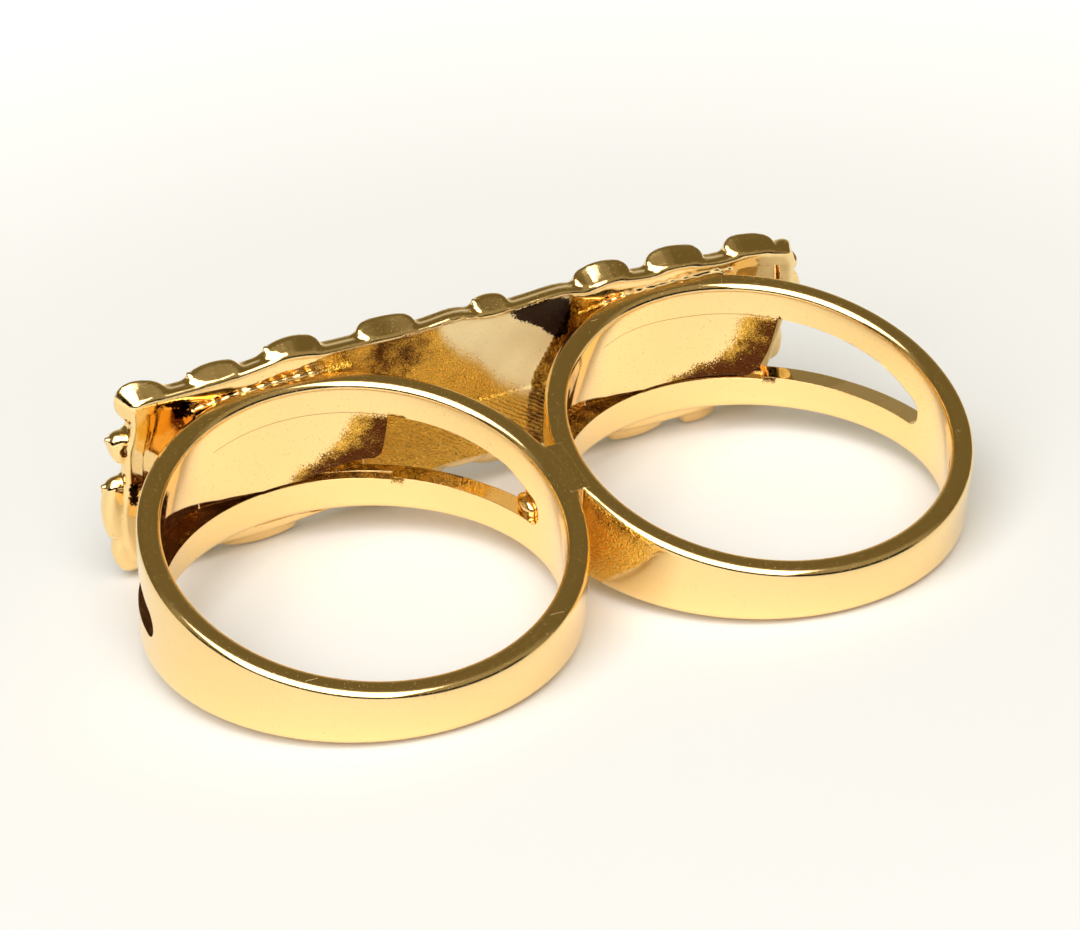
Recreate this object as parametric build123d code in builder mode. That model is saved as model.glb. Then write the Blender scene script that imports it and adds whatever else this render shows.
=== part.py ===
from build123d import *
import math
import os

os.makedirs("parts", exist_ok=True)

# Two finger bands side by side, joined by a long plate across both fingers.
# Modelled with the finger holes along Z and the plate toward +Y, then laid down.

# Bands, mm
finger_radius = 9.25
band_wall = 1.10
band_radius = finger_radius + band_wall
band_pitch = 20.80
band_x = band_pitch / 2
edge_round = 0.22

# The bands widen from the palm side (-Y) to the plate side (+Y).
palm_top = 1.36
palm_bottom = -1.27
plate_side_top = 4.25
plate_side_bottom = -3.72

# Seam between the bands
web_near = -1.39
web_far = 1.67
web_width = 0.80
web_near_top = 2.48
web_near_bottom = -2.20
web_far_top = 2.90
web_far_bottom = -2.56

# Shoulder slots, one through each side of each band: each row is y, top and bottom
slot_end_radius = 0.80
slot_end_y = 1.10
slot_end_z = 0.00
slot_rows = [
    (3.0, 1.45, -1.06),
    (5.5, 1.90, -1.33),
    (9.4, 2.45, -1.60),
]

# Pad left standing between the slots: each left row is x from the band's centre and z
pad_right_x = 4.60
pad_top = 3.00
pad_left = [
    (-7.10, 1.60),
    (-6.40, 0.85),
    (-5.20, 0.13),
    (-3.60, -0.72),
    (-0.80, -1.50),
]
pad_bottom = -2.00

# Groove between the pad and the lower arm
groove_depth = 0.70
groove_bottom = -1.62
groove_top = -1.18
groove_near_y = 7.90

# Plate across both fingers: a smooth backing with a lumpy relief layer in front
backing_y = 9.90
backing_thickness = 0.65
backing_upper_left = (-17.70, 4.80)
backing_upper_mid = (-0.50, 5.30)
backing_upper_right = (17.70, 4.30)
backing_right_mid = (18.00, 1.20)
backing_lower_right = (16.90, -4.30)
backing_lower_mid = (0.00, -3.75)
backing_lower_left = (-17.70, -4.50)
backing_left_mid = (-18.30, -0.60)
backing_corner = 0.80
recess_depth = 0.20
recess_length = 33.60
recess_height = 7.20
recess_corner = 1.30
recess_z = 0.50
relief_y = backing_y + backing_thickness - 0.10
relief_thickness = 0.65
front_y = relief_y + relief_thickness
outline_round = 0.18
front_round = 0.20

# Raised relief on the front of the plate
relief_radius = 3.40
relief_rise = 0.45
relief_sink = relief_radius - relief_rise
relief_upper_z = 2.55
relief_lower_z = -1.95
relief_upper_x = [-15.2, -11.0, -6.6, -2.2, 2.4, 7.0, 11.4, 15.6]
relief_lower_x = [-16.2, -12.6, -8.8, -4.4, 0.2, 4.7, 9.2, 13.2]

# Lying flat: the palm edges and the lower lumps of the plate touch the floor.
lump_bottom = -5.50
rest_tilt = math.degrees(math.atan2(palm_bottom - lump_bottom, front_y + band_radius))

# Slot cutter, kept clear of the pad at the middle of each band
slot_lower = [(y, bottom) for y, top, bottom in slot_rows]
slot_upper = [(y, top) for y, top, bottom in reversed(slot_rows)]

with BuildPart() as slot_cutter:
    with BuildSketch(Plane.YZ):
        with Locations((slot_end_y, slot_end_z)):
            Circle(slot_end_radius)
        Polygon(
            (slot_end_y, slot_end_z - slot_end_radius),
            *slot_lower,
            *slot_upper,
            (slot_end_y, slot_end_z + slot_end_radius),
            align=None,
        )
    extrude(amount=band_pitch + band_radius, both=True)
    with BuildSketch(Plane.XZ):
        with Locations((-band_x, 0), (band_x, 0)):
            Polygon(
                (pad_right_x, pad_bottom),
                (pad_right_x, pad_top),
                (pad_left[0][0], pad_top),
                *pad_left,
                (pad_left[-1][0], pad_bottom),
                align=None,
            )
    extrude(amount=-12, mode=Mode.SUBTRACT)

# One band with its taper and rounded edges
with BuildPart() as band:
    with BuildSketch(Plane.XY):
        Circle(band_radius)
        Circle(finger_radius, mode=Mode.SUBTRACT)
    extrude(amount=6, both=True)
    with BuildSketch(Plane.YZ):
        Polygon(
            (-band_radius, palm_bottom),
            (band_radius, plate_side_bottom),
            (band_radius, plate_side_top),
            (-band_radius, palm_top),
            align=None,
        )
    extrude(amount=band_radius, both=True, mode=Mode.INTERSECT)
    fillet(edges().filter_by(GeomType.ELLIPSE), edge_round)

# Both bands with the seam between them, the slots and the grooves
with BuildPart() as bands:
    with BuildSketch(Plane.YZ):
        Polygon(
            (web_near, web_near_bottom),
            (web_far, web_far_bottom),
            (web_far, web_far_top),
            (web_near, web_near_top),
            align=None,
        )
    extrude(amount=web_width / 2, both=True)
    with Locations((-band_x, 0), (band_x, 0)):
        add(band.part)
    add(slot_cutter.part, mode=Mode.SUBTRACT)
    with BuildSketch(Plane.XY.offset(groove_bottom)):
        with Locations((-band_x, 0), (band_x, 0)):
            Circle(finger_radius + groove_depth)
        with Locations((0, groove_near_y + 5)):
            Rectangle(4 * band_pitch, 10, mode=Mode.INTERSECT)
    extrude(amount=groove_top - groove_bottom, mode=Mode.SUBTRACT)

# Outline of the relief layer: each row is the peak of a lump and the valley after it.
top_start = (-18.00, 4.30)
top_lumps = [
    ((-16.90, 5.38), (-14.90, 4.80)),
    ((-13.00, 5.36), (-11.30, 4.74)),
    ((-9.50, 5.76), (-7.40, 5.00)),
    ((-4.70, 5.64), (-2.90, 4.92)),
    ((-1.80, 5.25), (-0.30, 4.98)),
    ((0.95, 5.36), (2.10, 4.86)),
    ((4.00, 5.05), (5.50, 4.88)),
    ((7.20, 5.66), (9.10, 4.70)),
    ((11.20, 5.54), (13.70, 4.48)),
    ((15.40, 5.12), (17.10, 4.25)),
]
right_lumps = [
    ((18.30, 3.90), (18.70, 2.60)),
    ((18.60, 0.90), (17.70, -0.60)),
    ((17.60, -2.30), (16.80, -4.20)),
]
bottom_lumps = [
    ((15.90, -4.70), (14.60, -4.50)),
    ((13.50, -5.50), (12.20, -4.55)),
    ((9.70, -5.42), (7.60, -4.45)),
    ((4.60, -4.30), (1.70, -3.80)),
    ((0.00, -3.95), (-1.90, -3.80)),
    ((-5.00, -4.40), (-8.60, -4.50)),
    ((-11.30, -5.50), (-13.80, -4.50)),
    ((-15.30, -4.85), (-16.40, -4.70)),
]
left_lumps = [
    ((-17.60, -5.10), (-18.50, -4.20)),
    ((-19.10, -1.60), (-18.20, 1.25)),
    ((-18.60, 2.30), (-17.80, 3.20)),
]

with BuildPart() as plate:
    with BuildSketch(Plane.XZ.offset(-backing_y)):
        with BuildLine():
            ThreePointArc(backing_upper_left, backing_upper_mid, backing_upper_right)
            ThreePointArc(backing_upper_right, backing_right_mid, backing_lower_right)
            ThreePointArc(backing_lower_right, backing_lower_mid, backing_lower_left)
            ThreePointArc(backing_lower_left, backing_left_mid, backing_upper_left)
        make_face()
    extrude(amount=-backing_thickness)
    fillet(edges().filter_by(Axis.Y), backing_corner)
    with BuildSketch(Plane.XZ.offset(-backing_y)):
        with Locations((0, recess_z)):
            RectangleRounded(recess_length, recess_height, recess_corner)
    extrude(amount=-recess_depth, mode=Mode.SUBTRACT)

# Relief layer with its rounded outline and low mounds
with BuildPart() as relief:
    with BuildSketch(Plane.XZ.offset(-relief_y)):
        with BuildLine():
            start = top_start
            for peak, valley in top_lumps + right_lumps + bottom_lumps + left_lumps:
                ThreePointArc(start, peak, valley)
                start = valley
            ThreePointArc(start, (-17.66, 3.80), top_start)
        make_face()
    extrude(amount=-relief_thickness)
    fillet(edges().filter_by(Axis.Y), outline_round)
    fillet(faces().sort_by(Axis.Y)[-1].edges(), front_round)
    with Locations([(x, front_y - relief_sink, relief_upper_z) for x in relief_upper_x]):
        Sphere(relief_radius)
    with Locations([(x, front_y - relief_sink, relief_lower_z) for x in relief_lower_x]):
        Sphere(relief_radius)
    split(bisect_by=Plane.XZ.offset(-relief_y), keep=Keep.BOTTOM)

# The soldered ring, still upright
with BuildPart() as upright:
    add(plate.part)
    add(relief.part)
    add(bands.part)

# The ring laid on the floor, centred over its own box
tilted = Rot(X=rest_tilt) * upright.part
tilted_box = tilted.bounding_box()
to_floor = Pos(-tilted_box.center().X, -tilted_box.center().Y, -tilted_box.min.Z)

with BuildPart() as two_finger_ring:
    add(to_floor * tilted)

two_finger_ring.part.label = "two_finger_ring"
export_step(two_finger_ring.part, "parts/two_finger_ring.step")
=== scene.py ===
import math

import bpy
import numpy as np
from mathutils import Matrix, Vector


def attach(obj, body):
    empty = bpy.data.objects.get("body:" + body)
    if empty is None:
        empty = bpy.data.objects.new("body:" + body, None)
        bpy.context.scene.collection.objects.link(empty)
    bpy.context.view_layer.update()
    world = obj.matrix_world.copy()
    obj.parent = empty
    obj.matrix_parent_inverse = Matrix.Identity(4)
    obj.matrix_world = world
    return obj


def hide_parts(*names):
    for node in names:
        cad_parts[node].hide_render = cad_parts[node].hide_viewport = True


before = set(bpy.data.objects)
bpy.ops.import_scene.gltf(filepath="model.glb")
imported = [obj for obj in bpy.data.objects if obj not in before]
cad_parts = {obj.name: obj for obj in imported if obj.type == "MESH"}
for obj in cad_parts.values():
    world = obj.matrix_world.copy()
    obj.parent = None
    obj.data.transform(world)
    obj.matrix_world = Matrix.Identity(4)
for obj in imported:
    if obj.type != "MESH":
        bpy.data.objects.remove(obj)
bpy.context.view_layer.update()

# Camera in the part's frame: angles in degrees, lengths in millimetres
CAMERA_AZIMUTH = -25.65
CAMERA_ELEVATION = 27.25
CAMERA_ROLL = -2.89
CAMERA_DISTANCE = 166.8
CAMERA_TARGET = (0.765, 3.193, 4.160)
CAMERA_CLIP_START = 10
FOCAL_PIXELS = 3469
PHOTO_WIDTH = 1080
SENSOR = 36
MM = 0.001


def make_camera():
    a, e = math.radians(CAMERA_AZIMUTH), math.radians(CAMERA_ELEVATION)
    back = Vector((math.sin(a) * math.cos(e), -math.cos(a) * math.cos(e), math.sin(e)))
    right = Vector((math.cos(a), math.sin(a), 0))
    up = back.cross(right)
    r = math.radians(CAMERA_ROLL)
    x = right * math.cos(r) + up * math.sin(r)
    y = up * math.cos(r) - right * math.sin(r)
    data = bpy.data.cameras.new("camera")
    data.sensor_width = SENSOR
    data.lens = FOCAL_PIXELS * SENSOR / PHOTO_WIDTH
    data.clip_start = CAMERA_CLIP_START * MM
    camera = bpy.data.objects.new("camera", data)
    bpy.context.scene.collection.objects.link(camera)
    place = Vector(CAMERA_TARGET) * MM + back * CAMERA_DISTANCE * MM
    camera.matrix_world = Matrix.Translation(place) @ Matrix((x, y, back)).transposed().to_4x4()
    bpy.context.scene.camera = camera


# The ring is built upright, finger holes along Z, and then laid down. Lengths in millimetres.
REST_TILT = 11.1557
REST_SHIFT = (0, -0.7678, 3.3787)

HOLE_RADIUS = 9.25
BAND_RADIUS = 10.35
BAND_X = 10.40
EDGE = 0.36
# Where the bands meet, their edges are sharper: share of the rounding, and y from there to the full one
SEAM_EDGE_SHARE = 0.15
SEAM_EDGE_NEAR, SEAM_EDGE_FAR = 1.0, 2.4
# Heights of the band's top and bottom at the middle, and how they grow toward the plate
TOP_MID, TOP_SLOPE = 2.807, 0.139
BOTTOM_MID, BOTTOM_SLOPE = -2.499, -0.118
FILLET_STEPS = 6
BAND_STEPS = 540
WALL_ROWS = 12

# Solder between the bands, in y and z, and the lump of it that shows in the left band's slot
WEB_HALF = 0.50
WEB_OUTLINE = [
    (-1.39, -2.34), (-1.39, 2.62), (1.67, 3.045), (2.20, 1.90),
    (2.90, 0.80), (3.10, -0.20), (2.90, -1.20), (2.20, -2.76),
]
LUMP_PLACE = (-0.72, 2.35, -0.72)
LUMP_RADII = (0.42, 0.80, 0.46)

# Shoulder slots: which band, which side of it, y of the rounded end
SLOT_TABLE = [
    # band, side, end_y
    (-1, -1, 0.10),
    (-1, 1, 0.45),
    (1, -1, 0.45),
    (1, 1, 0.05),
]
SLOT_END_RADIUS = 0.80
SLOT_END_Z = 0.0
SLOT_END_STEPS = 16
SLOT_REACH = 13
SLOT_POINTS = [
    # y, top, bottom
    (3.0, 1.45, -1.06),
    (5.5, 1.90, -1.33),
    (9.4, 2.45, -1.60),
]

# The pad that closes the slot at the plate: x from the band's centre, and z
PAD_RIGHT = {
    -1: [
        (0.9, -1.56), (1.4, -1.28), (1.86, -1.12), (3.03, -0.69), (3.70, -0.46), (4.35, -0.37),
        (4.60, -0.10), (4.70, 0.44), (4.79, 1.35), (4.86, 2.4), (4.9, 4.0),
    ],
    1: [
        (4.1, -1.62), (4.40, -1.40), (4.82, -0.94), (5.12, 0.10),
        (5.25, 0.85), (5.40, 2.0), (5.50, 4.0),
    ],
}
PAD_LEFT = [
    (-9.0, 2.60),
    (-7.6, 1.75),
    (-6.4, 0.85),
    (-5.2, 0.13),
    (-3.6, -0.72),
    (-2.1, -1.20),
    (-0.8, -1.50),
]
PAD_TOP, PAD_BOTTOM, PAD_REACH = 4.0, -2.2, 14

# Groove under each pad: angles round the band, z, and radii of its mouth and floor
GROOVE_FROM, GROOVE_TO, GROOVE_STEPS = 57, 97, 40
GROOVE_LOW, GROOVE_HIGH = -1.62, -1.44
GROOVE_MOUTH, GROOVE_RADIUS = 8.8, 9.80


def smooth_step(low, high, value):
    t = np.clip((value - low) / (high - low), 0, 1)
    return t * t * (3 - 2 * t)


def lay_down(points):
    t = math.radians(REST_TILT)
    turn = np.array([[1, 0, 0], [0, math.cos(t), -math.sin(t)], [0, math.sin(t), math.cos(t)]])
    return (np.asarray(points) @ turn.T + REST_SHIFT) * MM


def mesh_object(name, points, faces):
    mesh = bpy.data.meshes.new(name)
    mesh.from_pydata([tuple(p) for p in points], [], [tuple(int(i) for i in f) for f in faces])
    mesh.update()
    made = bpy.data.objects.new(name, mesh)
    bpy.context.scene.collection.objects.link(made)
    return made


def get_points(made):
    coords = np.empty(len(made.data.vertices) * 3)
    made.data.vertices.foreach_get("co", coords)
    return coords.reshape(-1, 3)


def set_points(made, points):
    made.data.vertices.foreach_set("co", np.asarray(points).ravel())
    made.data.update()


def top_at(y):
    return TOP_MID + TOP_SLOPE * y


def bottom_at(y):
    return BOTTOM_MID + BOTTOM_SLOPE * y


def band_section():
    """Rows round the band's section: outer or inner wall, share of the height, fillet direction."""
    corners = []
    for out, up, start in ((1, 1, 0), (0, 1, 90), (0, 0, 180), (1, 0, 270)):
        for i in range(FILLET_STEPS + 1):
            a = math.radians(start + 90 * i / FILLET_STEPS)
            corner_r = -1 if out else 1
            corner_z = -1 if up else 1
            corners.append((out, up, corner_r + math.cos(a), corner_z + math.sin(a)))
    rows = []
    for i, row in enumerate(corners):
        rows.append(row)
        after = corners[(i + 1) % len(corners)]
        if row[0] == after[0] and row[1] != after[1]:
            for k in range(1, WALL_ROWS):
                s = k / WALL_ROWS
                height = row[1] + (after[1] - row[1]) * s
                rows.append((row[0], height, row[2], row[3] + (after[3] - row[3]) * s))
    return np.array(rows)


def band_object(name, side):
    section = band_section()
    theta = np.linspace(0, 2 * math.pi, BAND_STEPS, endpoint=False)
    facing = np.cos(theta) * side < 0
    reach = np.abs(BAND_RADIUS * np.sin(theta))
    full = smooth_step(SEAM_EDGE_NEAR, SEAM_EDGE_FAR, reach)
    shrink = np.where(facing, SEAM_EDGE_SHARE + (1 - SEAM_EDGE_SHARE) * full, 1.0)
    edge = EDGE * np.where(section[:, 0] > 0.5, shrink[:, None], 1.0)
    radius = HOLE_RADIUS + (BAND_RADIUS - HOLE_RADIUS) * section[:, 0] + edge * section[:, 2]
    x = side * BAND_X + np.cos(theta)[:, None] * radius
    y = np.sin(theta)[:, None] * radius
    low, high = bottom_at(y), top_at(y)
    z = low + (high - low) * section[:, 1] + edge * section[:, 3]
    points = np.stack([x, y, z], -1).reshape(-1, 3)
    n = len(section)
    faces = []
    for i in range(BAND_STEPS):
        j = (i + 1) % BAND_STEPS
        for k in range(n):
            m = (k + 1) % n
            faces.append((i * n + k, j * n + k, j * n + m, i * n + m))
    return mesh_object(name, points, faces)


def combine(target, tool, operation):
    modifier = target.modifiers.new("cut", "BOOLEAN")
    modifier.object = tool
    modifier.operation = operation
    modifier.solver = "EXACT"
    with bpy.context.temp_override(object=target, active_object=target):
        bpy.ops.object.modifier_apply(modifier=modifier.name)
    bpy.data.objects.remove(tool)


def slot_outline(end_y):
    centre = end_y + SLOT_END_RADIUS
    arc = []
    for i in range(SLOT_END_STEPS + 1):
        a = math.radians(90 + 180 * i / SLOT_END_STEPS)
        arc.append((centre + SLOT_END_RADIUS * math.cos(a), SLOT_END_Z + SLOT_END_RADIUS * math.sin(a)))
    low = [(y, bottom) for y, top, bottom in SLOT_POINTS]
    high = [(y, top) for y, top, bottom in reversed(SLOT_POINTS)]
    return arc + low + high


def prism(name, outline, low, high, axis):
    """A closed prism of an outline along X or Y."""
    n = len(outline)
    if axis == "X":
        points = [(low, a, b) for a, b in outline] + [(high, a, b) for a, b in outline]
    else:
        points = [(a, low, b) for a, b in outline] + [(a, high, b) for a, b in outline]
    faces = [tuple(range(n)), tuple(reversed(range(n, 2 * n)))]
    faces += [(i, n + i, n + (i + 1) % n, (i + 1) % n) for i in range(n)]
    return mesh_object(name, points, faces)


def pad_object(side):
    """The wall that the slots leave standing at the plate."""
    right = PAD_RIGHT[side]
    outline = [(right[0][0], PAD_BOTTOM), *right, (PAD_LEFT[0][0], PAD_TOP), *PAD_LEFT]
    outline.append((PAD_LEFT[-1][0], PAD_BOTTOM))
    return prism("pad", [(side * BAND_X + x, z) for x, z in outline], 0, PAD_REACH, "Y")


def groove_object(side):
    """A thin cut in the hole's wall under the pad."""
    corners = [
        (GROOVE_MOUTH, GROOVE_LOW), (GROOVE_RADIUS, GROOVE_LOW),
        (GROOVE_RADIUS, GROOVE_HIGH), (GROOVE_MOUTH, GROOVE_HIGH),
    ]
    points, faces = [], [(0, 1, 2, 3)]
    for i in range(GROOVE_STEPS + 1):
        a = math.radians(GROOVE_FROM + (GROOVE_TO - GROOVE_FROM) * i / GROOVE_STEPS)
        points += [(side * BAND_X + r * math.cos(a), r * math.sin(a), z) for r, z in corners]
    for i in range(GROOVE_STEPS):
        for k in range(4):
            m = (k + 1) % 4
            faces.append((4 * i + k, 4 * i + 4 + k, 4 * i + 4 + m, 4 * i + m))
    last = 4 * GROOVE_STEPS
    faces.append((last + 3, last + 2, last + 1, last))
    return mesh_object("groove", points, faces)


def solder_objects():
    """Solder that fills the gap between the bands, and a lump of it in the left band's slot."""
    web = prism("web", WEB_OUTLINE, -WEB_HALF, WEB_HALF, "X")
    bpy.ops.mesh.primitive_uv_sphere_add(segments=48, ring_count=24, radius=1)
    lump = bpy.context.object
    set_points(lump, get_points(lump) * LUMP_RADII + LUMP_PLACE)
    return [web, lump]


def join(pieces):
    with bpy.context.temp_override(active_object=pieces[0], selected_editable_objects=pieces):
        bpy.ops.object.join()
    return pieces[0]


def make_bands():
    parts = []
    for side in (-1, 1):
        band = band_object("ring_bands", side)
        for band_side, slot_side, end_y in SLOT_TABLE:
            if band_side == side:
                inner = side * BAND_X
                outer = inner + slot_side * SLOT_REACH
                cutter = prism("slot", slot_outline(end_y), min(inner, outer), max(inner, outer), "X")
                combine(cutter, pad_object(side), "DIFFERENCE")
                combine(band, cutter, "DIFFERENCE")
        combine(band, groove_object(side), "DIFFERENCE")
        parts.append(band)
    parts += solder_objects()
    bands = join(parts)
    points = get_points(bands)
    masks = band_masks(points)
    cast, painted_shade = slot_masks(bands, points, masks.pop("cast"), masks.pop("painted_shade"))
    add_mask(bands, "cast", cast, "CORNER")
    add_mask(bands, "painted_shade", painted_shade, "CORNER")
    for name, values in masks.items():
        add_mask(bands, name, values)
    set_points(bands, lay_down(points))
    return bands


def add_mask(made, name, values, domain="POINT"):
    layer = made.data.attributes.new(name, "FLOAT", domain)
    layer.data.foreach_set("value", np.asarray(values, np.float32))


# The slots' cut faces: how far they are left as cast, and how much painted shade browns them
SLOT_FACES = [
    # band, side of it, cast, painted shade
    (-1, -1, 1.0, 1.1),
    (-1, 1, 1.0, 0.6),
    (1, -1, 0.9, 0.7),
    (1, 1, 0.0, 0.0),
]
# A cut face is this far from the rims and from the seam, and this little of it faces outward
CUT_FROM_RIM, CUT_FROM_SEAM, CUT_FACING = 0.5, 1.3, 0.6
# On the sides toward the seam the cast look starts between these y
CUT_CAST_NEAR, CUT_CAST_FAR = 4.0, 7.5


def slot_masks(made, points, cast, painted_shade):
    """The masks at each face corner, with the slots' cut faces set apart from the walls around them."""
    corners = np.empty(len(made.data.loops), int)
    made.data.loops.foreach_get("vertex_index", corners)
    cast, painted_shade = cast[corners], painted_shade[corners]
    for face in made.data.polygons:
        x, y, z = points[corners[face.loop_start]]
        side = 1 if x > 0 else -1
        dx = x - side * BAND_X
        between = bottom_at(y) + CUT_FROM_RIM < z < top_at(y) - CUT_FROM_RIM
        outward = (face.normal.x * dx + face.normal.y * y) / math.hypot(dx, y)
        if between and abs(outward) < CUT_FACING and abs(x) > CUT_FROM_SEAM:
            for band_side, slot_side, rough, shade_brown in SLOT_FACES:
                if band_side == side and slot_side * dx > 0:
                    loops = list(face.loop_indices)
                    far = 1
                    if band_side * slot_side < 0:
                        far = smooth_step(CUT_CAST_NEAR, CUT_CAST_FAR, points[corners[loops], 1])
                    # The cut faces take the table's painted shade
                    cast[loops], painted_shade[loops] = rough * far, shade_brown
    return cast, painted_shade


# Where the metal is left as cast: edge of the polished wall on each pad, in degrees and z
PAD_EDGE = {
    -1: [
        (88, -1.5), (84.6, -0.76), (79.1, -0.34), (75.4, 0.18),
        (71.9, 0.91), (69.5, 1.6), (69.0, 1.9), (67.8, 2.4),
    ],
    1: [(87.9, -1.29), (80.6, -0.93), (72.7, -0.47), (68.8, 0.12), (66.1, 1.04), (65.7, 2.1)],
}
# The unpolished patch beside the seam on the right band's outer wall: where it fades, and its lower edge
PATCH_FADE, PATCH_FULL = -142, -154
PATCH_LOW, PATCH_LOW_ANGLE, PATCH_SLOPE = -2.3, -165, 0.19
# A faint line along the hole's wall, over the pads: angles, and its lift at the right band's far end
SEAM_FROM, SEAM_TO, SEAM_LIFT = 56, 116, 0.25
# The pads' zone on the hole's wall: its lowest z, where it starts, and how soft its edge is, in degrees
PAD_FLOOR = -1.5
PAD_START, PAD_START_SOFT, PAD_SOFT = 52, 2, 3.5


def band_masks(points):
    """The zones of the bands' surface: each is one where it is full. Seam: distance to a faint line."""
    x, y, z = points.T
    cast, painted_shade, satin, seam = np.zeros((4, len(points)))
    seam += 1
    slot_top = np.interp(y, [row[0] for row in SLOT_POINTS], [row[1] for row in SLOT_POINTS])
    for side in (-1, 1):
        dx = x - side * BAND_X
        radius = np.hypot(dx, y)
        angle = np.degrees(np.arctan2(y, dx))
        edge = PAD_EDGE[side]
        limit = np.interp(z, [row[1] for row in edge], [row[0] for row in edge])
        mine = np.abs(dx) < BAND_X
        on_hole = mine & (radius < HOLE_RADIUS + 0.06)
        on_pad = on_hole & (z > PAD_FLOOR) & (z < slot_top + 0.02)
        pad = on_pad * smooth_step(PAD_SOFT, -PAD_SOFT, angle - limit)
        pad = pad * smooth_step(PAD_START, PAD_START + PAD_START_SOFT, angle)
        cast = np.maximum(cast, pad)
        # Painted shade on the pads: darker further from the polished wall and towards the bottom
        pad_shade = 0.25 + 0.65 * smooth_step(0, -9, angle - limit) + 0.25 * smooth_step(0.6, -0.4, z)
        painted_shade = np.maximum(painted_shade, on_pad * pad_shade)
        to_rim = np.minimum(top_at(y) - z, z - bottom_at(y))
        satin = np.maximum(satin, mine * smooth_step(0.06, 0.0, to_rim))
        along = on_hole & (angle > SEAM_FROM) & (angle < SEAM_TO)
        line = slot_top + (SEAM_LIFT if side > 0 else 0.0) * smooth_step(80, 110, angle)
        seam = np.where(along, z - line, seam)
    dx = x - BAND_X
    radius = np.hypot(dx, y)
    angle = np.degrees(np.arctan2(y, dx))
    ledge = PATCH_LOW + PATCH_SLOPE * (angle - PATCH_LOW_ANGLE)
    patch = (np.abs(radius - BAND_RADIUS) < 0.05) * (angle < 0)
    patch = patch * smooth_step(PATCH_FADE, PATCH_FULL, angle)
    patch = patch * smooth_step(-0.15, 0.15, z - ledge)
    cast = np.maximum(cast, patch)
    # Painted shade on the patch, darker towards the top
    painted_shade = np.maximum(painted_shade, patch * (0.1 + 0.5 * smooth_step(1.0, 2.2, z)))
    return {"cast": cast, "painted_shade": painted_shade, "satin": satin, "seam": seam}


# Plate, upright: a smooth backing and a lumpy relief layer in front of it
BACK_Y = 9.92
BACKING_FRONT = 10.60
BACKING_ROUND = 0.27
BACKING_TOP = [
    # x, z
    (-17.7, 4.55), (-17.3, 4.95), (-15.8, 5.04), (-13.1, 5.11), (-11.2, 5.34), (-9.8, 5.55),
    (-8.0, 5.30), (-6.0, 5.24), (-3.0, 5.16), (-0.9, 5.36), (0.6, 5.08), (2.4, 5.08),
    (4.8, 5.24), (6.3, 5.00), (7.6, 5.20), (9.6, 4.95), (11.2, 5.05), (13.6, 4.70),
    (15.2, 4.72), (17.2, 4.38), (17.9, 3.90),
]
BACKING_REST = [
    # x, z
    (18.1, 2.2), (17.8, -0.2), (17.4, -1.6), (17.0, -3.4), (16.2, -4.3), (14.0, -4.55),
    (10.0, -4.55), (6.0, -4.15), (1.6, -3.70), (-1.6, -3.65), (-6.0, -4.20), (-11.0, -4.70),
    (-15.5, -4.65), (-17.6, -4.40), (-18.2, -3.2), (-18.35, -1.6), (-18.15, 0.2), (-18.05, 2.0),
    (-17.75, 3.5),
]
RECESS_DEPTH = 0.30
# Width of the rim left round the recess, along x
RIM_X = [-18, -9.5, -7.5, 5.0, 6.8, 18]
RIM_UPPER = [0.85, 0.85, 0.20, 0.20, 0.85, 0.85]
RIM_LOWER = [0.85, 0.60, 0.10, 0.10, 0.60, 0.85]
# Solder that joins each band's end to the plate: a shell inside the band's wall
SHELL_RADIUS, SHELL_HALF, SHELL_REACH, SHELL_INSET = 10.14, 0.16, 3.4, 0.25
SOLDER_BLEND = 0.40
SOLDER_KEEP_OUT = 9.6
# Bead of solder along each band's rim at the plate: x from the band's centre, and z
BEAD_Y = 9.98
BEAD_POINTS = [
    (-4.6, 3.72), (-3.2, 3.95), (-1.9, 4.10), (-0.4, 4.20), (1.2, 4.22), (2.7, 4.14), (3.8, 4.05),
]
BEAD_RADIUS = 0.15

# Lumps along the plate's edge: centre, half sizes and turn in the plate's face, and which end has a curl
LUMP_DEPTH = 10.62
LUMP_ROWS = [
    # x, z, half_x, half_z, turn, curl
    (-17.05, 4.59, 1.35, 1.05, -20, -1),
    (-13.35, 4.79, 1.35, 0.82, 4, -1),
    (-9.40, 5.04, 1.45, 0.95, 2, -1),
    (-4.45, 5.04, 1.50, 0.85, -4, -1),
    (1.10, 4.94, 0.95, 0.62, -3, -1),
    (7.25, 5.04, 1.45, 0.86, -3, -1),
    (11.35, 4.94, 1.50, 0.84, -4, -1),
    (15.70, 4.59, 1.40, 0.72, -14, -1),
    (17.75, 3.50, 0.90, 0.85, -40, 0),
    (18.05, 1.40, 0.75, 1.30, 4, 0),
    (17.20, -1.30, 0.80, 1.35, 8, 0),
    (16.30, -3.60, 1.10, 0.95, 20, 0),
    (13.30, -4.40, 1.10, 0.92, 6, 1),
    (9.75, -4.32, 1.75, 0.92, 4, 1),
    (5.00, -3.85, 1.90, 0.70, 6, 0),
    (-0.20, -3.45, 1.60, 0.60, 0, 1),
    (-5.20, -3.85, 2.20, 0.70, -5, 0),
    (-11.20, -4.35, 2.15, 1.00, 0, 1),
    (-15.60, -4.15, 1.50, 0.85, 0, 0),
    (-17.75, -3.95, 0.90, 1.15, 12, 0),
    (-18.30, -1.30, 0.80, 1.75, 0, -1),
    (-18.05, 2.25, 0.62, 0.82, 14, -1),
]
LUMP_HALF_DEPTH = 0.66
LUMP_ROUND = 0.45
LUMP_BOX, LUMP_DOME = 0.28, 0.72
CURL_RADIUS = 0.16
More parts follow.
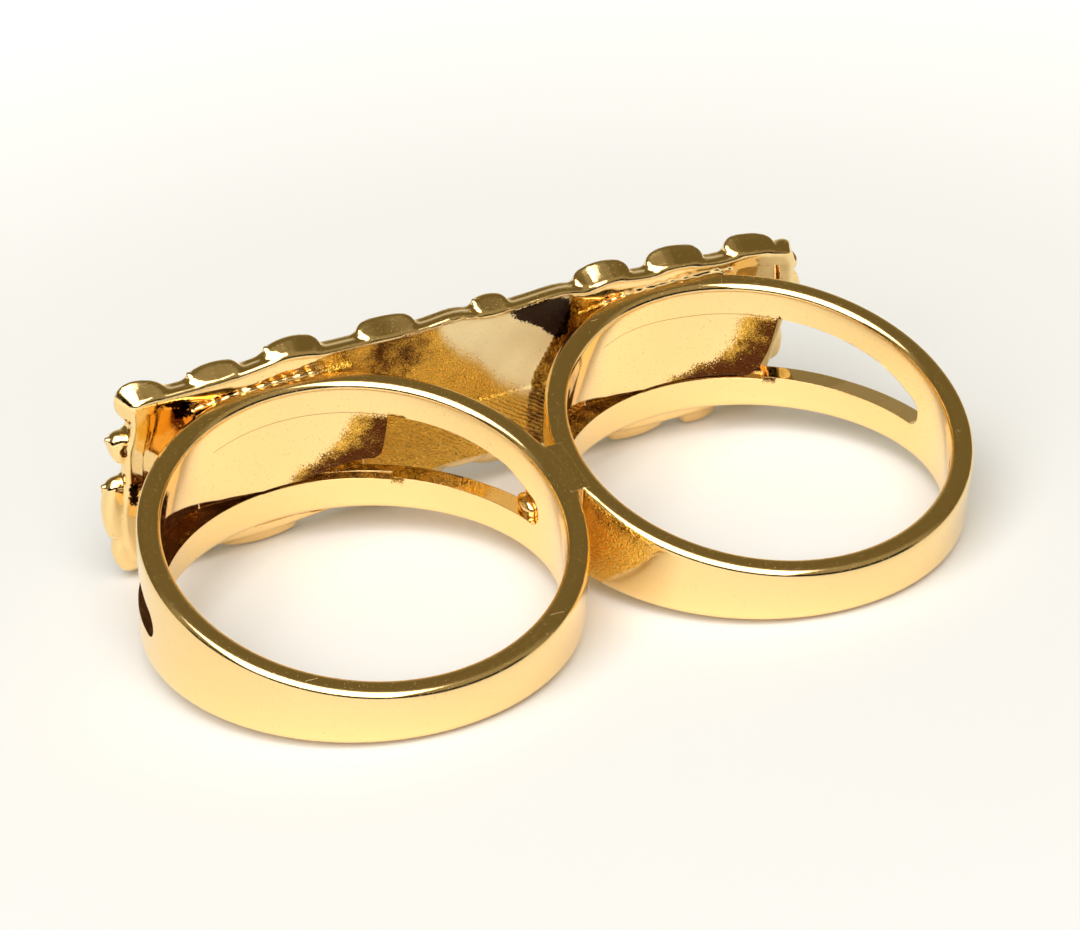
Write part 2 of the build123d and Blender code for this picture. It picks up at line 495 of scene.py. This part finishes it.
# The upper lumps slope back: how steeply, and between which z the slope fades in
LUMP_RAMP = 0.50
RAMP_LOW, RAMP_FULL = 1.8, 3.6
LUMP_BLEND = 0.30
VALLEY_FRONT = 11.02
MOUND_RADII = (2.5, 0.55, 1.9)
MOUND_ROWS = [
    # z, first_x, step, count
    (2.70, -15.3, 4.37, 8),
    (-0.60, -13.4, 4.45, 7),
    (-3.00, -15.6, 4.40, 8),
]
# Box that the plate's field is read in, its cell, and the longest step of a point to the surface
PLATE_LOW, PLATE_HIGH = (-19.9, 9.4, -6.3), (19.6, 12.0, 6.4)
PLATE_CELL, PLATE_STEP = 0.135, 0.05


def smooth_union(a, b, blend):
    h = np.clip(0.5 + 0.5 * (b - a) / blend, 0, 1)
    return b + (a - b) * h - blend * h * (1 - h)


def catmull(points, steps):
    """A closed smooth line through the points."""
    p = np.asarray(points, float)
    before, after, later = np.roll(p, 1, 0), np.roll(p, -1, 0), np.roll(p, -2, 0)
    square = 2 * before - 5 * p + 4 * after - later
    cube = 3 * p - before - 3 * after + later
    rows = []
    for t in np.linspace(0, 1, steps, endpoint=False):
        rows.append(0.5 * (2 * p + (after - before) * t + square * t ** 2 + cube * t ** 3))
    return np.stack(rows, 1).reshape(-1, 2)


def outline_distance(x, z, outline):
    """Signed distance to a closed outline, negative inside."""
    best = np.full(x.shape, 1e9)
    inside = np.zeros(x.shape, bool)
    for (ax, az), (bx, bz) in zip(outline, np.roll(outline, -1, 0)):
        ex, ez = bx - ax, bz - az
        t = np.clip(((x - ax) * ex + (z - az) * ez) / (ex * ex + ez * ez), 0, 1)
        best = np.minimum(best, (x - ax - t * ex) ** 2 + (z - az - t * ez) ** 2)
        crosses = (az > z) != (bz > z)
        inside ^= crosses & (x < ax + (z - az) / (ez if ez else 1e-9) * ex)
    return np.sqrt(best) * np.where(inside, -1, 1)


def slab(flat, y, low, high, rounding):
    """A slab of a flat outline between two depths, with rounded edges."""
    depth = np.abs(y - (low + high) / 2) - (high - low) / 2
    a, b = flat + rounding, depth + rounding
    return np.minimum(np.maximum(a, b), 0) + np.hypot(np.maximum(a, 0), np.maximum(b, 0)) - rounding


def ellipsoid(x, y, z, radii):
    k = np.sqrt((x / radii[0]) ** 2 + (y / radii[1]) ** 2 + (z / radii[2]) ** 2)
    k2 = np.sqrt((x / radii[0] ** 2) ** 2 + (y / radii[1] ** 2) ** 2 + (z / radii[2] ** 2) ** 2)
    return k * (k - 1) / np.maximum(k2, 1e-6)


BACKING_OUTLINE = catmull(BACKING_TOP + BACKING_REST, 4)


def lump_field(x, y, z, row):
    cx, cz, half_x, half_z, turn, curl = row
    a = math.radians(turn)
    u = (x - cx) * math.cos(a) + (z - cz) * math.sin(a)
    w = -(x - cx) * math.sin(a) + (z - cz) * math.cos(a)
    v = y - LUMP_DEPTH
    halves = (half_x, LUMP_HALF_DEPTH, half_z)
    q = [np.abs(k) - half + LUMP_ROUND for k, half in zip((u, v, w), halves)]
    outside = np.sqrt(sum(np.maximum(k, 0) ** 2 for k in q))
    box = outside + np.minimum(np.maximum(np.maximum(q[0], q[1]), q[2]), 0) - LUMP_ROUND
    dome = ellipsoid(u, v, w, (half_x * 1.10, LUMP_HALF_DEPTH * 1.06, half_z * 1.08))
    lump = LUMP_BOX * box + LUMP_DOME * dome
    if curl:
        low = (curl * half_x * 0.72, -0.10, half_z * 0.20)
        high = (curl * half_x * 0.84, 0.12, half_z * 0.76)
        lump = smooth_union(lump, rod(u, v, w, low, high, CURL_RADIUS), 0.04)
    return lump


def rod(x, y, z, start, end, radius):
    """A round rod between two points."""
    p = np.stack([x - start[0], y - start[1], z - start[2]], -1)
    d = np.subtract(end, start)
    t = np.clip(p @ d / (d @ d), 0, 1)
    return np.linalg.norm(p - t[..., None] * d, axis=-1) - radius


def waves(x, z):
    """A soft unevenness of the cast metal, between about -1 and 1."""
    broad = np.sin(1.3 * x + 0.7 * z) * np.sin(1.9 * z - 0.5 * x + 1.0)
    return 0.5 * broad + 0.5 * np.sin(3.1 * x - 2.3 * z)


def rim_width(x, z):
    return np.where(z > 0, np.interp(x, RIM_X, RIM_UPPER), np.interp(x, RIM_X, RIM_LOWER))


def plate_field(p):
    """Signed distance of the plate at the points, upright."""
    x, y, z = p[..., 0], p[..., 1], p[..., 2]
    flat = outline_distance(x, z, BACKING_OUTLINE)
    backing = slab(flat, y, BACK_Y, BACKING_FRONT, BACKING_ROUND)
    relief = slab(flat + 0.10, y, BACKING_FRONT - 0.3, VALLEY_FRONT, 0.15)
    for row in LUMP_ROWS:
        relief = smooth_union(relief, lump_field(x, y, z, row), LUMP_BLEND)
    for mz, first_x, step, count in MOUND_ROWS:
        for i in range(count):
            mound = ellipsoid(x - first_x - step * i, y - VALLEY_FRONT + 0.05, z - mz, MOUND_RADII)
            relief = smooth_union(relief, mound, 0.25)
    steep = LUMP_RAMP + 4 * smooth_step(RAMP_FULL, RAMP_LOW, z) + 0.05 * waves(x, z)
    ramp = (flat - steep * (y - BACK_Y - 0.08)) / np.hypot(1, steep)
    relief = -smooth_union(-relief, -ramp, 0.16)
    field = smooth_union(backing, relief, 0.10)
    rim = rim_width(x, z)
    depth = RECESS_DEPTH * smooth_step(0, 0.5, rim) + 0.012 * waves(x, z)
    recess = slab(flat + rim, y, BACK_Y - 2, BACK_Y + depth, 0.14)
    field = np.maximum(field, -recess)
    for side in (-1, 1):
        dx = x - side * BAND_X
        radius = np.hypot(dx, y)
        shell = np.abs(radius - SHELL_RADIUS) - SHELL_HALF
        shell = np.maximum(shell, np.abs(dx) - SHELL_REACH)
        past_rim = np.maximum(z - top_at(y) + SHELL_INSET, bottom_at(y) + SHELL_INSET - z)
        shell = np.maximum(shell, past_rim)
        field = smooth_union(field, shell, SOLDER_BLEND)
        bead = np.full(x.shape, 1e3)
        for (ax, az), (bx, bz) in zip(BEAD_POINTS, BEAD_POINTS[1:]):
            start = (side * BAND_X + ax, BEAD_Y, az)
            end = (side * BAND_X + bx, BEAD_Y, bz)
            bead = np.minimum(bead, rod(x, y, z, start, end, BEAD_RADIUS))
        bead = bead - 0.04 * np.sin(4.9 * x) * np.sin(2.3 * x + 1.0) - 0.02 * np.sin(9.7 * x + 5.0 * z)
        field = smooth_union(field, bead, 0.10)
        field = np.maximum(field, SOLDER_KEEP_OUT - radius)
    return field


def surface_nets(field, low, cell, counts):
    """A closed quad mesh of the field's zero surface."""
    axes = [low[i] + cell * np.arange(counts[i]) for i in range(3)]
    grid = np.stack(np.meshgrid(*axes, indexing="ij"), -1)
    values = field(grid)
    solid = values < 0
    cells = tuple(c - 1 for c in counts)
    total = np.zeros(cells + (3,))
    hits = np.zeros(cells)
    for axis in range(3):
        n = [slice(0, c) for c in counts]
        m = [slice(0, c) for c in counts]
        n[axis], m[axis] = slice(0, -1), slice(1, None)
        a, b = values[tuple(n)], values[tuple(m)]
        cross = (a < 0) != (b < 0)
        share = np.where(cross, a / np.where(cross, a - b, 1), 0)
        place = grid[tuple(n)].copy()
        place[..., axis] += share * cell
        others = [k for k in range(3) if k != axis]
        for s in (0, 1):
            for t in (0, 1):
                pick = [slice(None)] * 3
                pick[others[0]] = slice(s, s + cells[others[0]])
                pick[others[1]] = slice(t, t + cells[others[1]])
                c = cross[tuple(pick)]
                total += np.where(c[..., None], place[tuple(pick)], 0)
                hits += c
    used = hits > 0
    index = np.full(cells, -1)
    index[used] = np.arange(used.sum())
    points = total[used] / hits[used][:, None]
    quads = []
    for axis in range(3):
        u, v = [(1, 2), (2, 0), (0, 1)][axis]
        n = [slice(1, c - 1) for c in counts]
        m = [slice(1, c - 1) for c in counts]
        n[axis], m[axis] = slice(0, -1), slice(1, None)
        a, b = solid[tuple(n)], solid[tuple(m)]
        for crossing, flip in ((a & ~b, False), (~a & b, True)):
            base = np.argwhere(crossing)
            for k in range(3):
                if k != axis:
                    base[:, k] += 1
            corners = []
            for du, dv in ((0, 0), (-1, 0), (-1, -1), (0, -1)):
                c = base.copy()
                c[:, u] += du
                c[:, v] += dv
                corners.append(index[c[:, 0], c[:, 1], c[:, 2]])
            quad = np.stack(corners, -1)
            quads.append(quad[:, ::-1] if flip else quad)
    return points, np.concatenate(quads)


def field_normals(field, points, step=0.01):
    rows = []
    for k in range(3):
        d = np.zeros(3)
        d[k] = step
        rows.append((field(points + d) - field(points - d)) / (2 * step))
    gradient = np.stack(rows, -1)
    size = np.linalg.norm(gradient, axis=-1, keepdims=True)
    return gradient / np.maximum(size, 1e-6), size[..., 0]


# Part of the plate's back between the bands with a painted cream highlight: x and z of its lower left
# edge
SHEEN_EDGE = [
    (-2.3, 5.3), (-1.9, 4.7), (-1.45, 3.9), (-0.75, 3.1),
    (0.4, 2.2), (1.5, 0.7), (3.1, -0.4), (3.6, -2.5),
]
# Line where it meets the solder of the right band: z and x
SOLDER_LINE = [(-1.9, 3.15), (-0.5, 3.23), (0.7, 3.45), (1.9, 4.11), (3.3, 4.81), (4.4, 5.30)]
# The painted highlight's soft edges: along its lower left edge, along x and at the solder's line
SHEEN_FADE = (-1.0, 0.9)
SHEEN_START = (-2.6, -1.6)
LINE_SOFT = 0.05
# The cast zone between the bands fades out toward each end of the plate, between these x
CAST_LEFT, CAST_RIGHT = (-9.4, -7.2), (7.5, 6.5)
# Brown spot of painted dark reflection on the cast zone: centre in x and z, and the radii where it starts
# and is full
SPOT_PLACE, SPOT_REACH = (-4.1, 4.3), (2.6, 0.5)
# Lower left corner of the recess, rough as cast and darkened by painted shade: where it starts, in x and
# in z
CORNER_X, CORNER_Z = (-10.5, -11.5), (-0.7, -1.3)
# Ribs on the lower part of the cast zone: where they start, in z and in x
RIBS_Z, RIBS_X = (0.8, -0.8), (-9.5, -7.5)
DARK_PATCH_SOFT, HOLLOW_SOFT = 0.25, 0.12
# Dark patches, in x and z: painted dark reflections between the bands by the right band and in the left
# pocket, and a dark spot at the plate's left end
DARK_PATCHES = [
    [
        (1.9, 4.75), (3.0, 5.1), (4.6, 5.0), (5.3, 4.6), (5.4, 3.9),
        (5.2, 2.6), (4.6, 2.45), (3.6, 3.5), (2.5, 4.15),
    ],
    [(-16.6, 4.72), (-15.3, 4.65), (-14.3, 4.2), (-14.8, 3.9), (-15.8, 4.3)],
    [(-15.7, 4.1), (-14.8, 4.0), (-14.7, 3.3), (-15.4, 3.3)],
    [(-18.1, 0.5), (-17.5, 0.45), (-17.6, -0.9), (-17.95, -0.8)],
]
# Hollows in the left corner that get a painted amber reflection of the gold, in x and z
HOLLOWS = [
    [(-14.9, 4.60), (-13.6, 4.66), (-13.7, 4.0)],
    [(-13.45, 4.2), (-13.2, 4.55), (-12.5, 4.40)],
    [(-17.6, 3.6), (-16.8, 4.4), (-16.1, 4.35), (-15.4, 3.8), (-15.5, 3.05), (-16.1, 2.65), (-17.4, 2.9)],
]


def spots(x, z, outlines, soft):
    """One inside any of the outlines, with soft edges."""
    mask = np.zeros(len(x))
    for outline in outlines:
        mask = np.maximum(mask, smooth_step(soft, -soft, outline_distance(x, z, np.array(outline))))
    return mask


def plate_masks(points):
    """The zones of the plate's surface: each is one where it is full. Seam: distance to a faint line."""
    x, y, z = points.T
    flat = outline_distance(x, z, BACKING_OUTLINE)
    back = smooth_step(10.5, 10.3, y) * smooth_step(-0.05, -0.25, flat)
    rim = rim_width(x, z)
    recess = back * smooth_step(0.1, -0.2, flat + rim)
    edge = np.interp(x, [row[0] for row in SHEEN_EDGE], [row[1] for row in SHEEN_EDGE])
    line = np.interp(z, [row[0] for row in SOLDER_LINE], [row[1] for row in SOLDER_LINE])
    # The painted cream highlight lies above its lower left edge, right of x = -1.6 and left of the
    # solder's line
    sheen_zone = smooth_step(*SHEEN_FADE, z - edge) * smooth_step(*SHEEN_START, x)
    sheen_zone = sheen_zone * smooth_step(LINE_SOFT, -LINE_SOFT, x - line)
    beside = smooth_step(-LINE_SOFT, LINE_SOFT, x - line) * smooth_step(6.5, 5.5, x)
    cast = recess * (1 - sheen_zone) * smooth_step(*CAST_LEFT, x) * smooth_step(*CAST_RIGHT, x)
    from_spot = np.hypot(x - SPOT_PLACE[0], (z - SPOT_PLACE[1]) * 0.9)
    # Painted shade: a brown spot of painted dark reflection, darker towards the left, beside the solder's
    # line and in the lower left corner
    painted_shade = 0.08 + 0.70 * smooth_step(*SPOT_REACH, from_spot)
    painted_shade = np.maximum(painted_shade, 0.45 * smooth_step(-5.5, -7.0, x))
    corner = recess * smooth_step(*CORNER_X, x) * smooth_step(*CORNER_Z, z)
    painted_shade = np.maximum(np.maximum(painted_shade, 0.65 * beside), 1.2 * corner)
    ribs = smooth_step(*RIBS_Z, z) * smooth_step(*RIBS_X, x)
    satin = smooth_step(10.55, 10.85, y)
    return {
        "cast": np.maximum(cast, corner),
        "amber_reflection": spots(x, z, HOLLOWS, HOLLOW_SOFT) * back,
        "dark_patch": spots(x, z, DARK_PATCHES, DARK_PATCH_SOFT) * back,
        "painted_shade": painted_shade,
        "ribs": ribs,
        "satin": satin,
        "seam": np.where(back > 0.5, x - line, 1.0),
        "painted_sheen": sheen_zone * recess,
    }


def make_plate():
    counts = tuple(int((h - l) / PLATE_CELL) + 1 for l, h in zip(PLATE_LOW, PLATE_HIGH))
    points, quads = surface_nets(plate_field, PLATE_LOW, PLATE_CELL, counts)
    for _ in range(2):
        normals, size = field_normals(plate_field, points)
        move = np.clip(plate_field(points) / np.maximum(size, 0.3), -PLATE_STEP, PLATE_STEP)
        points = points - normals * move[:, None]
    normals, size = field_normals(plate_field, points, 0.03)
    plate = mesh_object("ring_plate", lay_down(points), quads)
    for name, values in plate_masks(points).items():
        add_mask(plate, name, values)
    turned = (lay_down(normals) - lay_down(np.zeros(3))) / MM
    plate.data.shade_smooth()
    plate.data.normals_split_custom_set_from_vertices([tuple(n) for n in turned])
    return plate


def make_material(name, color, metallic, roughness):
    material = bpy.data.materials.new(name)
    material.use_nodes = True
    shader = material.node_tree.nodes["Principled BSDF"]
    shader.inputs["Base Color"].default_value = (*color, 1)
    shader.inputs["Metallic"].default_value = metallic
    shader.inputs["Roughness"].default_value = roughness
    return material


PER_MM = 1000


class Graph:
    """Short calls for the nodes of one material."""

    def __init__(self, tree):
        self.tree = tree
        self.place = tree.nodes.new("ShaderNodeTexCoord").outputs["Object"]

    def node(self, kind, values=(), **settings):
        made = self.tree.nodes.new(kind)
        for key, value in settings.items():
            setattr(made, key, value)
        for key, value in dict(values).items():
            if isinstance(value, bpy.types.NodeSocket):
                self.tree.links.new(value, made.inputs[key])
            else:
                made.inputs[key].default_value = value
        return made

    def math(self, operation, a, b=0.0, clamp=False):
        return self.node("ShaderNodeMath", {0: a, 1: b}, operation=operation, use_clamp=clamp).outputs[0]

    def noise(self, per_mm, detail=2, stretch=(1, 1, 1), turn=(0, 0, 0)):
        values = {"Vector": self.place, "Scale": stretch, "Rotation": turn}
        mapping = self.node("ShaderNodeMapping", values)
        values = {"Vector": mapping.outputs[0], "Scale": per_mm * PER_MM, "Detail": detail}
        return self.node("ShaderNodeTexNoise", values).outputs[0]

    def step(self, value, low, high):
        values = {"Value": value, "From Min": low, "From Max": high}
        return self.node("ShaderNodeMapRange", values, interpolation_type="SMOOTHSTEP").outputs[0]

    def attribute(self, name):
        return self.node("ShaderNodeAttribute", attribute_name=name).outputs["Fac"]

    def centred(self, value):
        return self.math("SUBTRACT", value, 0.5)

    def mask(self, name, grain, spread):
        """A mask of the mesh with its edge broken up by noise."""
        offset = self.math("MULTIPLY", self.centred(grain), spread)
        return self.step(self.math("ADD", self.attribute(name), offset), 0.38, 0.62)

    def mix_color(self, factor, a, b):
        made = self.node("ShaderNodeMix", {"Factor": factor}, data_type="RGBA")
        for index, value in ((6, a), (7, b)):
            if isinstance(value, bpy.types.NodeSocket):
                self.tree.links.new(value, made.inputs[index])
            else:
                made.inputs[index].default_value = (*value, 1)
        return made.outputs[2]

    def mix(self, factor, a, b):
        return self.node("ShaderNodeMix", {0: factor, 2: a, 3: b}).outputs[0]

    def bump(self, height, distance, normal):
        values = {"Height": height, "Distance": distance, "Normal": normal}
        return self.node("ShaderNodeBump", values).outputs[0]


# Colours of the gold's zones, the ribs' pitch and slope, and half the width of a seam line, in mm
POLISHED = (0.985, 0.71, 0.325)
AS_CAST = (1.0, 0.60, 0.09)
# Dark brown of the painted shade, also the colour of the seam lines
SHADE_AND_SEAM_BROWN = (0.10, 0.026, 0.002)
# Near black of the dark patches: painted dark reflections and a dark spot
DARK_PATCH_COLOR = (0.012, 0.004, 0.004)
# Amber of the painted reflection in the left corner's hollows
AMBER_REFLECTION = (0.90, 0.52, 0.09)
# Pale cream with little metal: a painted highlight on the plate's back between the bands
PAINTED_SHEEN = (1.0, 0.83, 0.46)
RIB_PITCH, RIB_SLOPE = 0.25, 0.70
SEAM_HALF = 0.035
GOLD_ROUGHNESS, CAST_ROUGHNESS, SHEEN_ROUGHNESS, SCRATCH_ROUGHNESS = 0.06, 0.17, 0.38, 0.40
SHEEN_METAL = 0.15
BUMP_HEIGHT, SOFT_EDGE = 0.14, 0.09
# Each set of scratches: noise per mm, stretch and turn
SCRATCH_SETS = [
    (7.0, (0.06, 1, 0.5), (0.4, 0.1, 0.6)),
    (8.0, (1, 0.06, 0.4), (0.2, 0.5, 0.9)),
]
SCRATCH_FROM, SCRATCH_TO = 0.815, 0.83


def make_gold():
    """Polished gold plating, left grainy as cast where the mask says so, with painted shade, painted
    reflections, a painted cream highlight and dark patches.
    """
    material = make_material("gold", POLISHED, 1, GOLD_ROUGHNESS)
    shader = material.node_tree.nodes["Principled BSDF"]
    g = Graph(material.node_tree)
    grain = g.noise(8.0, 3)
    coarse = g.noise(1.5, 3)
    fine = g.noise(15.0, 2)
    cast = g.mask("cast", fine, 2.2)
    # Dark patches: painted dark reflections, and a dark spot at the left end
    dark_patch = g.mask("dark_patch", grain, 1.8)
    painted_shade, ribbed, satin, seam = (g.attribute(name) for name in ("painted_shade", "ribs", "satin", "seam"))
    axes = g.node("ShaderNodeSeparateXYZ", {0: g.place}).outputs
    across = g.math("ADD", axes["Z"], g.math("MULTIPLY", axes["X"], RIB_SLOPE))
    phase = g.math("MULTIPLY", across, 2 * math.pi * PER_MM / RIB_PITCH)
    phase = g.math("ADD", phase, g.math("MULTIPLY", coarse, 8.0))
    ribs = g.math("MULTIPLY", g.math("SINE", phase), ribbed)
    speckle = g.math("MULTIPLY", g.centred(fine), 1.6)
    speckle = g.math("ADD", speckle, g.math("MULTIPLY", g.centred(coarse), 1.2))
    # Painted shade, broken up by grain, turns the cast metal dark brown
    shade_brown = g.step(g.math("ADD", painted_shade, speckle), 0.10, 1.0)
    # Painted cream highlight between the bands, with little metal and more roughness
    painted_sheen = g.attribute("painted_sheen")
    smooth_color = g.mix_color(painted_sheen, g.mix_color(g.attribute("amber_reflection"), POLISHED, AMBER_REFLECTION), PAINTED_SHEEN)
    color = g.mix_color(cast, smooth_color, g.mix_color(shade_brown, AS_CAST, SHADE_AND_SEAM_BROWN))
    color = g.mix_color(dark_patch, color, DARK_PATCH_COLOR)
    near_seam = g.step(g.math("ABSOLUTE", seam), SEAM_HALF, SEAM_HALF * 0.3)
    color = g.mix_color(g.math("MULTIPLY", near_seam, 0.55), color, SHADE_AND_SEAM_BROWN)
    polish = g.math("ADD", 0.03, g.math("MULTIPLY", fine, 0.04))
    polish = g.math("ADD", polish, g.math("MULTIPLY", satin, 0.13))
    scratches = 0.0
    for per_mm, stretch, turn in SCRATCH_SETS:
        lines = g.step(g.noise(per_mm, 1, stretch, turn), SCRATCH_FROM, SCRATCH_TO)
        scratches = g.math("MAXIMUM", scratches, lines)
    rough = g.mix(cast, g.mix(painted_sheen, polish, SHEEN_ROUGHNESS), CAST_ROUGHNESS)
    rough = g.mix(scratches, rough, SCRATCH_ROUGHNESS)
    metallic = g.math("SUBTRACT", 1.0, g.math("MULTIPLY", painted_sheen, 1 - SHEEN_METAL))
    links = material.node_tree.links
    links.new(color, shader.inputs["Base Color"])
    links.new(rough, shader.inputs["Roughness"])
    links.new(metallic, shader.inputs["Metallic"])
    relief = g.math("ADD", g.centred(grain), g.math("MULTIPLY", ribs, 0.22))
    height = g.math("MULTIPLY", relief, g.math("MAXIMUM", cast, g.math("MULTIPLY", painted_sheen, 0.25)))
    unevenness = g.math("ADD", 0.006, g.math("MULTIPLY", satin, 0.020))
    height = g.math("ADD", height, g.math("MULTIPLY", g.centred(fine), unevenness))
    height = g.math("ADD", height, g.math("MULTIPLY", g.centred(g.noise(0.40, 1)), 0.085))
    height = g.math("SUBTRACT", height, g.math("MULTIPLY", scratches, 0.03))
    soft = g.node("ShaderNodeBevel", {"Radius": SOFT_EDGE * MM}, samples=4).outputs[0]
    links.new(g.bump(height, BUMP_HEIGHT * MM, soft), shader.inputs["Normal"])
    return material


# The floor in metres: half its side, and where its glow starts and is full
FLOOR_HALF = 1.5
FLOOR_FADE = (0.028, 0.110)
FLOOR_GLOW = 0.30
FLOOR_COLOR = (0.94, 0.95, 0.96)


def make_floor():
    """A pale floor that brightens to white away from the ring."""
    corners = [(FLOOR_HALF * a, FLOOR_HALF * b, 0) for a, b in ((-1, -1), (1, -1), (1, 1), (-1, 1))]
    floor = mesh_object("floor", corners, [(0, 1, 2, 3)])
    material = make_material("floor", FLOOR_COLOR, 0, 0.55)
    shader = material.node_tree.nodes["Principled BSDF"]
    shader.inputs["Emission Color"].default_value = (1, 1, 1, 1)
    g = Graph(material.node_tree)
    away = g.node("ShaderNodeVectorMath", {0: g.place}, operation="LENGTH").outputs["Value"]
    glow = g.math("MULTIPLY", g.step(away, *FLOOR_FADE), FLOOR_GLOW)
    material.node_tree.links.new(glow, shader.inputs["Emission Strength"])
    floor.data.materials.append(material)


def area_light(name, place, aim, size, power):
    data = bpy.data.lights.new(name, "AREA")
    data.shape = "RECTANGLE"
    data.size, data.size_y = size
    data.energy = power
    light = bpy.data.objects.new(name, data)
    bpy.context.scene.collection.objects.link(light)
    light.location = place
    direction = Vector(aim) - Vector(place)
    light.rotation_euler = direction.to_track_quat("-Z", "Y").to_euler()


# Surroundings: dim olive overhead, paler behind the ring and on the camera's side, dark low there
BACK_DIRECTION = (0.433, 0.901, 0.0)
SURROUNDINGS = [
    # share of the way from camera side to back, colour
    (0.43, (0.320, 0.280, 0.180)),
    (0.56, (0.150, 0.122, 0.058)),
    (0.84, (0.155, 0.124, 0.054)),
    (0.93, (0.34, 0.31, 0.22)),
    (0.985, (0.60, 0.57, 0.48)),
]
DARK = (0.010, 0.007, 0.008)
DARK_FROM, DARK_FULL = -0.15, -0.30
DARK_TOP, DARK_BELOW = 0.42, 0.34
# Soft light: angles in degrees, lengths in metres
LIGHT_AZIMUTH, LIGHT_ELEVATION, LIGHT_DISTANCE = -127, 51, 0.90
LIGHT_SIZE = (1.12, 0.94)
LIGHT_POWER = 12.0


def make_world():
    world = bpy.data.worlds.new("world")
    bpy.context.scene.world = world
    world.use_nodes = True
    tree = world.node_tree
    g = Graph(tree)
    g.place = tree.nodes.new("ShaderNodeTexCoord").outputs["Generated"]
    product = g.node("ShaderNodeVectorMath", {0: g.place, 1: BACK_DIRECTION}, operation="DOT_PRODUCT")
    dot = product.outputs["Value"]
    share = g.node("ShaderNodeMapRange", {"Value": dot, "From Min": -1}).outputs[0]
    ramp = g.node("ShaderNodeValToRGB", {0: share})
    while len(ramp.color_ramp.elements) < len(SURROUNDINGS):
        ramp.color_ramp.elements.new(0.5)
    for element, (position, color) in zip(ramp.color_ramp.elements, SURROUNDINGS):
        element.position = position
        element.color = (*color, 1)
    height = g.node("ShaderNodeSeparateXYZ", {0: g.place}).outputs["Z"]
    low = g.math("MULTIPLY", g.step(dot, DARK_FROM, DARK_FULL), g.step(height, DARK_TOP, DARK_BELOW))
    tree.links.new(g.mix_color(low, ramp.outputs[0], DARK), tree.nodes["Background"].inputs["Color"])


def make_lights():
    a, e = math.radians(LIGHT_AZIMUTH), math.radians(LIGHT_ELEVATION)
    place = Vector((math.cos(a) * math.cos(e), math.sin(a) * math.cos(e), math.sin(e))) * LIGHT_DISTANCE
    area_light("softbox", place, (0, 0, 0), LIGHT_SIZE, LIGHT_POWER)


SHARP_ANGLE = 35

gold = make_gold()
bands, plate = make_bands(), make_plate()
bands.data.shade_smooth()
bands.data.set_sharp_from_angle(angle=math.radians(SHARP_ANGLE))
for piece in (bands, plate):
    piece.data.materials.clear()
    piece.data.materials.append(gold)
    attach(piece, "root")
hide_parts("two_finger_ring")
make_floor()
make_world()
make_lights()
make_camera()
bpy.context.scene.view_settings.view_transform = "Standard"
